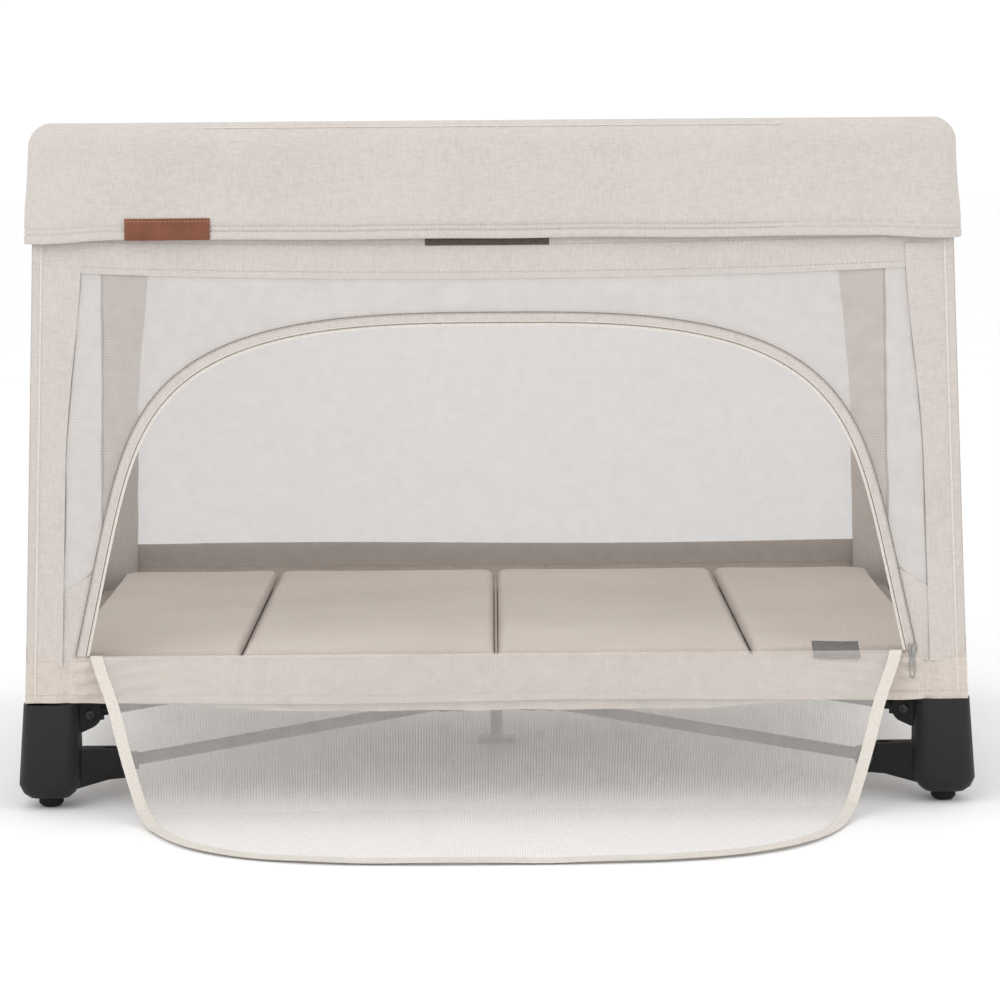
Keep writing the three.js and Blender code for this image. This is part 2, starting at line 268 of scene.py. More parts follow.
HEATHER = make_heather("heather_fabric", srgb(205, 198, 192), srgb(191, 184, 178))
BAND = make_heather("heather_band", srgb(210, 200, 191), srgb(196, 185, 176))
NET = make_net("wall_net", srgb(204, 198, 194), 0.53, 0.12)
# The door net gets a paler colour than the wall net: painted light, which makes up for the shade that falls on the
# floor under the flap.
FLAP_NET_PAINTED_LIGHT = make_net("door_net", srgb(230, 226, 222), 0.34, 0.10, drop=True)
QUILT = make_quilt("mattress_knit", srgb(209, 199, 191), srgb(193, 182, 172))
TAPE = make_tape("binding_tape", srgb(222, 216, 208), srgb(208, 201, 193))
PIPING = make_tape("seam_piping", srgb(224, 217, 210), srgb(208, 199, 191))
STITCH = make_tape("stitch_thread", srgb(196, 186, 176), srgb(170, 160, 150))
ZIP_COIL = make_tape("zip_coil", srgb(150, 141, 133), srgb(110, 103, 97))
LEATHER = make_leather("tan_leather", srgb(131, 80, 56), srgb(105, 60, 40))
CREAM_THREAD = make_tape("cream_thread", srgb(214, 170, 140), srgb(190, 140, 110))
LABEL = make_tape("woven_label", srgb(96, 87, 80), srgb(74, 66, 60))
TAB = make_tape("pull_tab", srgb(120, 116, 112), srgb(96, 93, 90))
PLASTIC = make_plastic("moulded_black", srgb(24, 24, 25), 0.5)
RUBBER = make_plastic("pad_rubber", srgb(24, 24, 24), 0.8)
TUBE = make_plastic("powder_coat", srgb(30, 30, 31), 0.42)
NICKEL = make_metal("zip_nickel", srgb(150, 148, 145), 0.28)
STEEL = make_metal("screw_steel", srgb(70, 70, 72), 0.35)


# ---------------------------------------------------------------- mesh helpers
CLOTH = 0.0012  # thickness of the wall cloth


def add_object(name, data):
    made = bpy.data.objects.new(name, data)
    bpy.context.scene.collection.objects.link(made)
    return made


def make_mesh(name, points, faces, finish, sharp_deg=50):
    data = bpy.data.meshes.new(name)
    data.from_pydata([tuple(p) for p in points], [], [tuple(int(i) for i in f) for f in faces])
    work = bmesh.new()
    work.from_mesh(data)
    bmesh.ops.remove_doubles(work, verts=work.verts, dist=1e-5)
    bmesh.ops.dissolve_degenerate(work, dist=1e-6, edges=work.edges)
    bmesh.ops.recalc_face_normals(work, faces=work.faces)
    for face in work.faces:
        face.smooth = True
    for edge in work.edges:
        if len(edge.link_faces) == 2 and edge.calc_face_angle(0) > math.radians(sharp_deg):
            edge.smooth = False
    work.to_mesh(data)
    work.free()
    data.materials.append(finish)
    return add_object(name, data)


def point_grid(firsts, seconds, place):
    """Rows of points: place gives the point for a first and a second value."""
    return np.array([[place(a, b) for b in seconds] for a in firsts])


def ring_faces(first, second, sides):
    """Quads between two rings of points, which start at the given numbers."""
    pairs = [(i, (i + 1) % sides) for i in range(sides)]
    return [(first + i, first + j, second + j, second + i) for i, j in pairs]


def grid_faces(rows, columns, start=0, flip=False):
    faces = []
    for r in range(rows - 1):
        for c in range(columns - 1):
            a = start + r * columns + c
            quad = (a, a + 1, a + columns + 1, a + columns)
            faces.append(quad[::-1] if flip else quad)
    return faces


def shell(name, outer, inner, finish):
    """Closes two matching grids of points into one body with a rim."""
    rows, columns = outer.shape[:2]
    count = rows * columns
    points = np.concatenate([outer.reshape(-1, 3), inner.reshape(-1, 3)])
    faces = grid_faces(rows, columns) + grid_faces(rows, columns, count, flip=True)
    border = list(range(columns))
    border += [r * columns + columns - 1 for r in range(1, rows)]
    border += [(rows - 1) * columns + c for c in range(columns - 2, -1, -1)]
    border += [r * columns for r in range(rows - 2, 0, -1)]
    for a, b in zip(border, border[1:] + border[:1]):
        faces.append((b, a, a + count, b + count))
    return make_mesh(name, points, faces, finish)


def grid_normals(grid):
    along = np.gradient(grid, axis=0)
    across = np.gradient(grid, axis=1)
    normals = np.cross(across, along)
    length = np.linalg.norm(normals, axis=2, keepdims=True)
    mean = normals.reshape(-1, 3).sum(0)
    mean = mean / max(np.linalg.norm(mean), 1e-9)
    return np.where(length > 1e-12, normals / np.maximum(length, 1e-12), mean)


def cloth(name, grid, finish, thickness=CLOTH):
    """A sheet of cloth of even thickness along a grid of points."""
    grid = np.asarray(grid, float)
    shift = grid_normals(grid) * thickness / 2
    return shell(name, grid + shift, grid - shift, finish)


def net_sheet(name, grid, finish):
    """A net is one layer of faces, so the eye passes its holes once."""
    grid = np.asarray(grid, float)
    return make_mesh(name, grid.reshape(-1, 3), grid_faces(*grid.shape[:2]), finish)


def tube(name, path, radius, finish, sides=8, closed=False):
    """A round cord or bar along a path."""
    path = np.asarray(path, float)
    tangents = np.gradient(path, axis=0)
    tangents /= np.maximum(np.linalg.norm(tangents, axis=1, keepdims=True), 1e-9)
    points = []
    side = None
    for point, tangent in zip(path, tangents):
        guide = np.array([0.0, 0.0, 1.0]) if side is None else np.cross(side, tangent)
        if abs(np.dot(guide, tangent)) > 0.95:
            guide = np.array([1.0, 0.0, 0.0])
        side = np.cross(tangent, guide)
        side /= max(np.linalg.norm(side), 1e-9)
        up = np.cross(side, tangent)
        for i in range(sides):
            angle = 2 * math.pi * i / sides
            points.append(point + radius * (math.cos(angle) * side + math.sin(angle) * up))
    faces = []
    rows = len(path)
    for r in range(rows if closed else rows - 1):
        faces += ring_faces(r * sides, ((r + 1) % rows) * sides, sides)
    if not closed:
        faces.append(tuple(range(sides))[::-1])
        faces.append(tuple((rows - 1) * sides + i for i in range(sides)))
    return make_mesh(name, points, faces, finish, 60)


def stitches(name, path, normal, finish, length=0.0032, gap=0.0018, radius=0.00035):
    """Short raised stitches in a row along a path."""
    path = np.asarray(path, float)
    steps = np.linalg.norm(np.diff(path, axis=0), axis=1)
    distance = np.concatenate([[0], np.cumsum(steps)])
    count = max(1, int(distance[-1] / (length + gap)))
    points, faces = [], []
    for i in range(count):
        start = (i + 0.5) * distance[-1] / count - length / 2
        a, b = (np.array([np.interp(start + s, distance, path[:, k]) for k in range(3)]) for s in (0, length))
        ahead = (b - a) / max(np.linalg.norm(b - a), 1e-9)
        up = np.asarray(normal, float)
        side = np.cross(ahead, up)
        base = len(points)
        middle = (a + b) / 2
        for centre, size in ((a, 0.3), (middle, 1.0), (b, 0.3)):
            for u, v in ((1, 0), (0, 1), (-1, 0), (0, -1)):
                points.append(centre + radius * size * (u * side + v * up))
        faces += ring_faces(base, base + 4, 4) + ring_faces(base + 4, base + 8, 4)
        faces += [(base + 3, base + 2, base + 1, base), (base + 8, base + 9, base + 10, base + 11)]
    return make_mesh(name, points, faces, finish, 80)


def ripple(x, y, z, size, seed=0.0):
    return noise.noise(Vector((x / size + seed, y / size - seed, z / size + 2 * seed)))


def smooth(value, low, high):
    share = min(1.0, max(0.0, (value - low) / (high - low)))
    return share * share * (3 - 2 * share)


# ---------------------------------------------------------------- riding the frame's bodies
hub_pivot = Vector(JOINTS[FOLD]["pos_m"])
foot_pivot = Vector(JOINTS["fold_post_front_left"]["pos_m"])
arm = foot_pivot - hub_pivot
HALF = {"x": post_x(0.4), "y": post_y(0.4)}
SIDES = {
    "front": ("corner_front_left", "x"), "rear": ("corner_rear_left", "x"),
    "left": ("corner_front_left", "y"), "right": ("corner_front_right", "y"),
}


def gather(piece, side, body=None):
    """Rides with the corner body of a wall, or with the given body, on a mesh of its own."""
    corner, axis = SIDES[side]
    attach(piece, body or corner)
    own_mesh(piece)


def on_wall(piece, side, body=None):
    """A piece of a wall, which rides with it."""
    gather(piece, side, body)


def on_body(piece, body):
    """A piece that keeps its shape and rides one body."""
    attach(piece, body)


# ---------------------------------------------------------------- camera, floor and light
def make_stage():
    lens, sensor = 111.8, 36.0
    distance, height = 3.779, 0.753
    horizon_below_top, shift = 0.372, -0.12  # shares of the picture's side
    camera = bpy.data.cameras.new("camera")
    camera.lens, camera.sensor_width = lens, sensor
    camera.shift_x, camera.shift_y = 0.006, shift
    camera.clip_end = 50
    rig = add_object("camera", camera)
    pitch = math.atan((horizon_below_top + shift) * sensor / lens)
    roll = math.radians(-0.45)
    rig.location = (0, -distance, height)
    turned = Matrix.Rotation(math.pi / 2 - pitch, 4, "X") @ Matrix.Rotation(roll, 4, "Z")
    rig.rotation_euler = turned.to_euler()
    bpy.context.scene.camera = rig

    work = bmesh.new()
    bmesh.ops.create_grid(work, x_segments=2, y_segments=2, size=30)
    data = bpy.data.meshes.new("floor")
    work.to_mesh(data)
    work.free()
    floor = add_object("floor", data)
    floor.location = (0, 0, -0.0005)
    paper = Finish("floor_paper", 0.9, specular=0.05)
    tone = paper.noise((3, 3, 3), 2)
    paper.two_tone(tone, 0.3, (0.93, 0.93, 0.93, 1), 0.7, (0.95, 0.95, 0.95, 1))
    floor.data.materials.append(paper.material)

    world = bpy.data.worlds.new("studio")
    world.use_nodes = True
    sky = world.node_tree.nodes["Background"]
    sky.inputs["Color"].default_value = (1, 1, 1, 1)
    sky.inputs["Strength"].default_value = 1.06
    bpy.context.scene.world = world
    for name, place, size, power in (
        ("key", (-1.6, -2.6, 3.2), 2.4, 26),
        ("fill", (2.4, -2.2, 2.0), 2.0, 9),
    ):
        lamp = bpy.data.lights.new(name, "AREA")
        lamp.size, lamp.energy = size, power
        holder = add_object(name, lamp)
        holder.location = place
        aim = Vector((0, 0, 0.35)) - Vector(place)
        holder.rotation_euler = aim.to_track_quat("-Z", "Y").to_euler()
    bpy.context.scene.view_settings.view_transform = "Standard"


make_stage()


# ---------------------------------------------------------------- padded top covers
COVER_THICKNESS = 0.005
ARCH_Z = COVER_TOP - COVER_OUT
LINING_LOW = 0.690
CORNER_CENTRE = 0.003  # centre of the rounded corner, outside the rail axes
SPLIT = 0.020  # the corner piece ends this far past the rail's pivot


def cover_section(offset):
    """Points (n, z) from the outer hem over the top to the lining, moved outwards by offset."""
    radius = COVER_OUT - COVER_THICKNESS / 2 + offset
    points = []
    hem_line, second_line = 0.0095, 0.0150
    heights = [0, 0.0012, 0.004, 0.0078, hem_line, 0.0112, 0.0135, second_line, 0.0166, 0.022, 0.03]
    heights += list(np.linspace(0.04, ARCH_Z - COVER_LOW, 7))
    for h in heights:
        belly = 0.0010 * math.sin(math.pi * min(1, h / (ARCH_Z - COVER_LOW)))
        groove = 0.0009 if abs(h - hem_line) < 1e-6 or abs(h - second_line) < 1e-6 else 0
        fat = 0.0007 if h < hem_line and h > 0.001 else 0
        points.append((radius + belly - groove * (offset > 0) + fat, COVER_LOW + h))
    for i in range(1, 16):
        angle = math.pi * i / 16
        points.append((radius * math.cos(angle), ARCH_Z + radius * math.sin(angle)))
    points += [(-radius, ARCH_Z - d) for d in (0, 0.01, 0.025, ARCH_Z - LINING_LOW)]
    return points


def cover_relax(point, outward, z):
    """Soft unevenness of the padding, a wavy hem, and a hem that flares at the corners."""
    x, y = point
    bulge = 0.0016 * ripple(x, y, z, 0.11) + 0.0007 * ripple(x, y, z, 0.035, 3.0)
    near_corner = smooth(abs(x), RAIL_X - 0.07, RAIL_X) * smooth(abs(y), RAIL_Y - 0.07, RAIL_Y)
    near_hem = 1 - smooth(z, COVER_LOW, COVER_LOW + 0.06)
    bulge += 0.001 * near_corner * near_hem + 0.004 * near_hem * outward[1] ** 2
    bulge -= 0.004 * smooth(z, 0.64, 0.72) * abs(outward[0])
    drop = 0.0022 * ripple(x, y, 0, 0.16, 5.0) * near_hem - 0.003 * near_corner * near_hem
    return Vector((x + outward[0] * bulge, y + outward[1] * bulge, z + drop))


def corner_row(sx, sy, n, z):
    """One line of the corner cover, from the X rail round to the Y rail."""
    reach = min(n, CORNER_CENTRE)
    radius = max(n - CORNER_CENTRE, 0)
    row = []
    for share in (0, 0.25, 0.5, 0.75, 0.95):
        x = PIVOT_X + SPLIT + (RAIL_X + reach - PIVOT_X - SPLIT) * share
        row.append(((sx * x, sy * (RAIL_Y + n)), (0, sy)))
    for i in range(9):
        angle = math.pi / 2 * i / 8
        out = (math.sin(angle), math.cos(angle))
        x = RAIL_X + (CORNER_CENTRE if radius else reach) + radius * out[0]
        y = RAIL_Y + (CORNER_CENTRE if radius else reach) + radius * out[1]
        row.append(((sx * x, sy * y), (sx * out[0], sy * out[1])))
    for share in (0.95, 0.75, 0.5, 0.25, 0):
        y = PIVOT_Y + SPLIT + (RAIL_Y + reach - PIVOT_Y - SPLIT) * share
        row.append(((sx * (RAIL_X + n), sy * y), (sx, 0)))
    return [cover_relax(point, out, z) for point, out in row]


def rail_row(axis, along, across, n, z):
    """One line of a half rail's cover, from the middle to the corner piece."""
    end = (PIVOT_X if axis == "x" else PIVOT_Y) + SPLIT
    row = []
    for share in np.linspace(0, 1, 40 if axis == "x" else 26):
        a = along * end * share
        if axis == "x":
            row.append(cover_relax((a, across * (RAIL_Y + n)), (0, across), z))
        else:
            row.append(cover_relax((across * (RAIL_X + n), a), (across, 0), z))
    return row


HALF_RAILS = {
    "front_left": ("x", -1, -1), "front_right": ("x", 1, -1),
    "rear_left": ("x", -1, 1), "rear_right": ("x", 1, 1),
    "left_front": ("y", -1, -1), "left_rear": ("y", 1, -1),
    "right_front": ("y", -1, 1), "right_rear": ("y", 1, 1),
}


def make_covers():
    offsets = (COVER_THICKNESS / 2, -COVER_THICKNESS / 2)
    for name, (sx, sy) in CORNERS.items():
        grids = [np.array([corner_row(sx, sy, n, z) for n, z in cover_section(o)]) for o in offsets]
        piece = shell(f"corner_cover_cloth_{name}", *grids, HEATHER)
        on_body(piece, f"corner_{name}")
        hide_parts(f"corner_cover_{name}")
    for name, (axis, along, across) in HALF_RAILS.items():
        grids = [np.array([rail_row(axis, along, across, n, z) for n, z in cover_section(o)])
                 for o in offsets]
        piece = shell(f"rail_cover_cloth_{name}", *grids, HEATHER)
        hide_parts(f"rail_cover_{name}")
        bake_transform(piece)


def make_cover_trim():
    """A pale seam along the top front edge and two rows of stitches in the hem."""
    seam_angle = math.radians(48)
    for name, (axis, along, across) in HALF_RAILS.items():
        radius = COVER_OUT + 0.0007
        end = PIVOT_X if axis == "x" else PIVOT_Y
        rows = {
            "seam": (radius * math.cos(seam_angle), ARCH_Z + radius * math.sin(seam_angle)),
            "hem_a": (COVER_OUT + 0.0004, COVER_LOW + 0.0095),
            "hem_b": (COVER_OUT + 0.0008, COVER_LOW + 0.0150),
        }
        for kind, (n, z) in rows.items():
            row = rail_row(axis, along, across, n, z)
            keep = [p for p in row if abs(p.x if axis == "x" else p.y) < end - 0.062]
            if kind == "seam":
                piece = tube(f"cover_{kind}_{name}", keep, 0.0008, PIPING, 6)
            else:
                normal = (0, across, 0) if axis == "x" else (across, 0, 0)
                piece = stitches(f"cover_{kind}_{name}", keep, normal, STITCH)
            on_body(piece, f"rail_{name}")


def make_patch():
    """Plain leather tag sewn over the hem of the front cover."""
    low, high, bottom, top = -0.406, -0.312, 0.6325, 0.6560

    def place(z, x):
        inset = 0.0012 * (abs(z - (bottom + top) / 2) / ((top - bottom) / 2)) ** 8
        point = cover_relax((x, -(RAIL_Y + COVER_OUT + 0.0022 - inset)), (0, -1), z)
        point.z = z + 0.0006 * ripple(x, 0, 0, 0.05)
        return point

    grid = point_grid(np.linspace(bottom, top, 9), np.linspace(low, high, 25), place)
    line = grid[-2] - (0, 0.0009, 0)
    patch = cloth("leather_tag", grid, LEATHER, 0.0016)
    thread = stitches("leather_tag_stitches", line, (0, -1, 0), CREAM_THREAD, 0.0026, 0.0016)
    for piece in (patch, thread):
        on_body(piece, "rail_front_left")


# ---------------------------------------------------------------- walls
def wall_point(side, u, z, n):
    """A point of a wall, u along it, n outside the post line."""
    if side in ("front", "rear"):
        return Vector((u, (-1 if side == "front" else 1) * (post_y(z) + n), z))
    return Vector(((-1 if side == "left" else 1) * (post_x(z) + n), u, z))


def half_width(side, z):
    return (post_x(z) if side in ("front", "rear") else post_y(z)) + WALL_OFFSET


def wall_strip(side, left, right, low, high, rows, columns, offset, wave=0.0, seed=0.0):
    """A grid over part of a wall; left and right are functions of z, low and high of the share across."""
    def place(r, c):
        z = low(c) + (high(c) - low(c)) * r
        u = left(z) + (right(z) - left(z)) * c
        free = smooth(half_width(side, z) - abs(u), 0.0, 0.035)
        fold = 0.5 + 0.4 * ripple(u, z, 0, 0.05, seed) + 0.2 * ripple(u, z, 0, 0.017, seed + 1)
        return wall_point(side, u, z, offset + wave * free * max(0.0, fold))

    return point_grid(np.linspace(0, 1, rows), np.linspace(0, 1, columns), place)


PANEL = {"x": 0.040, "y": 0.052}
SEAM_INSET = 0.010


def sides_of(sx, sy):
    return ("front" if sy < 0 else "rear", "left" if sx < 0 else "right")


def panel_edge(side, z):
    """Inner edge of a corner panel, wider towards the top."""
    return half_width(side, z) - PANEL[SIDES[side][1]] - 0.014 * smooth(z, 0.38, 0.62)


def sheet_on(piece, side):
    """A cloth of a wall, which rides with it."""
    on_wall(piece, side)


def make_closed_wall(side):
    """Rear, left or right wall: net between corner panels, a header and a lower band."""
    band_top = REAR_BAND_TOP if side == "rear" else 0.186
    edge = lambda z: panel_edge(side, z) + 0.004
    net = wall_strip(side, lambda z: -edge(z), edge, lambda c: band_top - 0.030, lambda c: HEADER_LOW + 0.02,
                     24, 60, 0.0140, 0.0010)
    piece = net_sheet(f"{side}_net", net, NET)
    sheet_on(piece, side)
    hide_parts(f"{side}_wall")

    half = lambda z: half_width(side, z) - 0.0005
    sag = lambda c: HEADER_LOW - 0.006 * math.sin(math.pi * c) + 0.006
    header = wall_strip(side, lambda z: -half(z), half, sag, lambda c: WALL_TOP, 16, 70, 0.0152, 0.0006, 2.0)
    sheet_on(cloth(f"{side}_header", header, HEATHER), side)

    band = wall_strip(side, lambda z: -half(z), half, lambda c: BAND_LOW + 0.001 * math.sin(9 * c),
                      lambda c: band_top + 0.002 * math.sin(7 * c), 14, 110, 0.0154, 0.0050, 4.0)
    sheet_on(cloth(f"{side}_band", band, BAND), side)
    for name, z, inset in (("band_top", band_top - 0.005, 0.002), ("header_low", HEADER_LOW + 0.009, 0.002)):
        droop = 0.005 if name == "header_low" else 0
        line = [wall_point(side, u, z - droop * math.cos(math.pi * u / (2 * half(z))), 0.0165)
                for u in np.linspace(-half(z) + inset, half(z) - inset, 80)]
        normal = wall_point(side, 0, z, 1.0) - wall_point(side, 0, z, 0.0)
        on_wall(stitches(f"{side}_{name}_stitches", line, normal, STITCH), side)


def make_corner_panels():
    """Heather strips down both sides of each post, and the piping where they meet."""
    for name, (sx, sy) in CORNERS.items():
        face = sides_of(sx, sy)[0]
        for side in sides_of(sx, sy):
            sign = sx if side in ("front", "rear") else sy
            low = 0.160 if side == "front" else 0.18
            inner = lambda z, s=side, g=sign: g * panel_edge(s, z)
            outer = lambda z, s=side, g=sign: g * (half_width(s, z) - 0.0005)
            grid = wall_strip(side, inner, outer, lambda c: low, lambda c: HEADER_LOW + 0.03,
                              90, 12, 0.0151, 0.0040, 7.0 + sx + 2 * sy)
            piece = cloth(f"corner_panel_{name}_{side}", grid, HEATHER)
            on_body(piece, f"corner_{name}")
            line = [wall_point(side, inner(z) + sign * 0.003, z, 0.0160) for z in np.linspace(low, 0.60, 90)]
            normal = wall_point(side, 0, 0.4, 1.0) - wall_point(side, 0, 0.4, 0.0)
            thread = stitches(f"panel_stitches_{name}_{side}", line, normal, STITCH)
            on_body(thread, f"corner_{name}")
        path = [wall_point(face, sx * (half_width(face, z) - SEAM_INSET), z, 0.0162)
                for z in np.linspace(BAND_LOW + 0.004, 0.66, 70)]
        piping = tube(f"corner_piping_{name}", path, 0.0013, PIPING, 8)
        on_body(piping, f"corner_{name}")


def make_post_sleeves():
    """Cloth round the inside of each post, from one wall's corner panel to the other's."""
    inner = 0.0140
    for name, (sx, sy) in CORNERS.items():
        face, end = sides_of(sx, sy)

        def place(z, share):
            first = Vector((panel_edge(face, z) - post_x(z), inner))
            last = Vector((inner, panel_edge(end, z) - post_y(z)))
            middle = Vector((-0.024, -0.022))
            flat = first * (1 - share) ** 2 + middle * 2 * share * (1 - share) + last * share ** 2
            crease = 0.0012 * ripple(flat.x, flat.y, z, 0.04, sx + 3 * sy)
            return (sx * (post_x(z) + flat.x - crease), sy * (post_y(z) + flat.y - crease), z)

        grid = point_grid(np.linspace(0.139, 0.672, 50), np.linspace(0, 1, 12), place)
        on_body(cloth(f"post_sleeve_{name}", grid, HEATHER), f"corner_{name}")


# ---------------------------------------------------------------- front wall with its zip door
DOOR_LOW = 0.172
DOOR_HEIGHT = 0.368
DOOR_HALF = 0.457
DOOR_TAPER = 0.215
TAPE_WIDTH = 0.016


def door_half(t, grow=0.0):
    """Half width of the door at height t above its sewn edge; grow moves the line outwards."""
    height = DOOR_HEIGHT + grow
    full = max(0.0, 1 - (min(t, height) / height) ** 6) ** (1 / 3)
    return (DOOR_HALF + grow - DOOR_TAPER * t) * full


def even_steps(line, steps):
    """The same line in steps of equal length."""
    line = np.array(line)
    run = np.concatenate([[0], np.cumsum(np.linalg.norm(np.diff(line, axis=0), axis=1))])
    even = np.linspace(0, run[-1], steps + 1)
    return np.column_stack([np.interp(even, run, line[:, k]) for k in range(2)])


def arch_line(grow=0.0, steps=120):
    """Points (u, z) of the door's edge from its left foot over the top to the right foot."""
    height = DOOR_HEIGHT + grow
    half = []
    for i in range(steps // 2 + 1):
        t = height * (1 - (1 - i / (steps // 2)) ** 2.6)
        half.append((door_half(t, grow), DOOR_LOW + t))
    return even_steps([(-u, z) for u, z in half] + half[::-1][1:], steps)


def front_frame_line(steps=120):
    """Points (u, z) round the front wall's net: up the left panel, across and down."""
    heights = np.linspace(DOOR_LOW, HEADER_LOW + 0.02, 40)
    left = [(-(panel_edge("front", z) + 0.004), z) for z in heights]
    return even_steps(left + [(-u, z) for u, z in left[::-1]], steps)


def front_surface(points, n, wave=0.0008):
    return np.array([wall_point("front", u, z, n + wave * ripple(u, z, 0, 0.06, 1.0)) for u, z in points])


def front_seam(name, line):
    on_wall(stitches(name, line, (0, -1, 0), STITCH), "front")


def make_front_wall():
    inner, outer = arch_line(), front_frame_line()
    grid = np.array([front_surface(inner + (outer - inner) * r, 0.0142) for r in np.linspace(0, 1, 12)])
    net = net_sheet("front_net", grid, NET)
    on_wall(net, "front")
    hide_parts("front_wall_left", "front_wall_right")

    half = lambda z: half_width("front", z) - 0.0005
    sag = lambda c: HEADER_LOW + 0.008 - 0.014 * math.sin(math.pi * c) ** 0.6
    header = wall_strip("front", lambda z: -half(z), half, sag, lambda c: WALL_TOP,
                        16, 90, 0.0156, 0.0012, 2.0)
    sheet_on(cloth("front_header", header, HEATHER), "front")
    for name, row in (("low", 1), ("mid", 5)):
        front_seam(f"front_header_stitches_{name}", header[row] - (0, 0.0009, 0))

    # Gussets: cloth corners below the net, between the corner panel and the door's edge
    for sign, name in ((-1, "left"), (1, "right")):
        def place(r, c):
            z = 0.160 + (0.240 + 0.030 * c - 0.160) * r
            edge = panel_edge("front", z) + 0.004
            arch = door_half(max(0.0, z - DOOR_LOW)) - 0.002
            u = sign * (edge + (arch - edge) * c)
            return wall_point("front", u, z, 0.0151 + 0.0008 * ripple(u, z, 0, 0.03))

        grid = point_grid(np.linspace(0, 1, 14), np.linspace(0, 1, 10), place)
        on_wall(cloth(f"gusset_{name}", grid, HEATHER, 0.0010), "front")

    # Door edge: binding tape, then the zip's two lines inside it
    for name, near, far, n, finish in (
        ("door_edge_tape", 0.0, TAPE_WIDTH * 0.62, 0.0164, HEATHER),
        ("door_edge_binding", -0.0052, 0.0004, 0.0168, TAPE),
    ):
        grid = np.array([front_surface(arch_line(g), n) for g in np.linspace(near, far, 4)])
        on_wall(cloth(name, grid, finish), "front")
    for i, grow in enumerate((-0.0015, TAPE_WIDTH * 0.62)):
        cord = tube(f"door_edge_line_{i}", front_surface(arch_line(grow), 0.0176), 0.0006, ZIP_COIL, 5)
        on_wall(cord, "front")
    front_seam("door_edge_stitches", front_surface(arch_line(TAPE_WIDTH * 0.5), 0.0172))


def make_front_band():
    """Lower band: a wrinkled outer strip with a hem, and a second hem hanging below its middle."""
    half = lambda z: half_width("front", z) + 0.0010
    low = lambda c: BAND_LOW + 0.0015 * math.sin(11 * c + 1)
    top = lambda c: BAND_TOP + 0.0015 * math.sin(5 * c)
    grid = wall_strip("front", lambda z: -half(z), half, low, top, 18, 160, 0.0166)
    for row, share in zip(grid, np.linspace(0, 1, len(grid))):
        for point in row:
            edge = abs(point[0])
            tuck = math.exp(-(((edge - 0.478) / 0.006) ** 2))
            soft = 0.0025 * ripple(point[0], point[2], 0, 0.07, 9.0)
            soft += 0.0012 * ripple(point[0], point[2], 0, 0.02, 4.0)
            pull = smooth(edge, 0.30, 0.45) * (1 - smooth(edge, 0.455, 0.475))
            crease = 0.0022 * pull * math.sin(420 * (point[2] + 0.14 * (edge - 0.4)))
            hem = 0.0010 if share < 0.12 else 0.0
            point[1] -= soft + crease + hem - 0.0030 * tuck
    sheet_on(cloth("front_band", grid, BAND), "front")
    for name, row in (("low", 3), ("top", -2)):
        front_seam(f"front_band_stitches_{name}", grid[row] - (0, 0.0011, 0))

    def under(z, u):
        rise = 0.010 * smooth(abs(u), 0.20, 0.40)
        height = z + rise * (1 - (z - 0.108) / 0.022) + 0.001 * ripple(u, 0, 0, 0.05)
        return wall_point("front", u, height, 0.0128 + 0.0022 * ripple(u, z, 0, 0.03, 6.0))

    grid = point_grid(np.linspace(0.108, 0.130, 8), np.linspace(-0.40, 0.40, 110), under)
    sheet_on(cloth("front_inner_hem", grid, BAND), "front")


def make_front_extras():
    """Woven label behind the cover's hem, and the grey tab on the band."""
    grid = wall_strip("front", lambda z: -0.075, lambda z: 0.062, lambda c: 0.6240, lambda c: 0.642,
                      5, 16, 0.0176)
    on_wall(cloth("woven_label", grid, LABEL, 0.0010), "front")
    top = wall_point("front", 0, BAND_TOP, 0.0185)

    def place(run, x):
        z = BAND_TOP - 0.006 + run * (0.9 - 0.35 * min(1.0, run / 0.010))
        return (x, top.y + 0.020 * smooth(run, 0.004, 0.030) - 0.001, z + 0.0006 * math.sin(60 * x))

    grid = point_grid(np.linspace(0, 0.030, 10), np.linspace(0.352, 0.404, 12), place)
    on_wall(cloth("zip_garage_tab", grid, TAB, 0.0014), "front")


def make_slider():
    """Zip slider body with a bridge, and the ring-shaped pull below it."""
    low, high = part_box("zip_pull")
    centre = Vector(((low.x + high.x) / 2, low.y + 0.001, high.z + 0.006))
    work = bmesh.new()
    body, bridge = ((0.009, 0.0030, 0.013), (0, 0.0010, 0)), ((0.0035, 0.0032, 0.008), (0, -0.0018, 0.0005))
    for size, shift in (body, bridge):
        made = bmesh.ops.create_cube(work, size=1.0)["verts"]
        bmesh.ops.scale(work, vec=size, verts=made)
        taper = [v for v in made if v.co.z < 0]
        bmesh.ops.scale(work, vec=(0.72, 1, 1), verts=taper)
        bmesh.ops.translate(work, vec=centre + Vector(shift), verts=made)
    bmesh.ops.bevel(work, geom=work.edges[:], offset=0.0008, segments=3, affect="EDGES", profile=0.6)
    data = bpy.data.meshes.new("zip_slider")
    work.to_mesh(data)
    work.free()
    data.shade_smooth()
    data.materials.append(NICKEL)
    on_body(add_object("zip_slider", data), "corner_front_right")
    width, run = high.x - low.x, high.z - low.z
    sides = 28
    ring = []
    for i in range(sides):
        turns = math.cos(2 * math.pi * i / sides), math.sin(2 * math.pi * i / sides)
        ring.append([math.copysign(abs(t) ** 0.7, t) for t in turns])
    middle = (low.z + high.z) / 2
    points = []
    for y in (low.y + 0.0001, high.y - 0.0001):
        for half_x, half_z, drop in ((width / 2, run / 2, 0), (width * 0.27, run * 0.36, 0.002)):
            points += [(centre.x + a * half_x, y, middle - drop + b * half_z) for a, b in ring]
    faces = []
    for first, second in ((0, 1), (3, 2), (2, 0), (1, 3)):
        faces += ring_faces(first * sides, second * sides, sides)
    pull = make_mesh("zip_pull_ring", points, faces, NICKEL, 40)
    on_body(pull, "zip_pull")
    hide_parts("zip_pull")


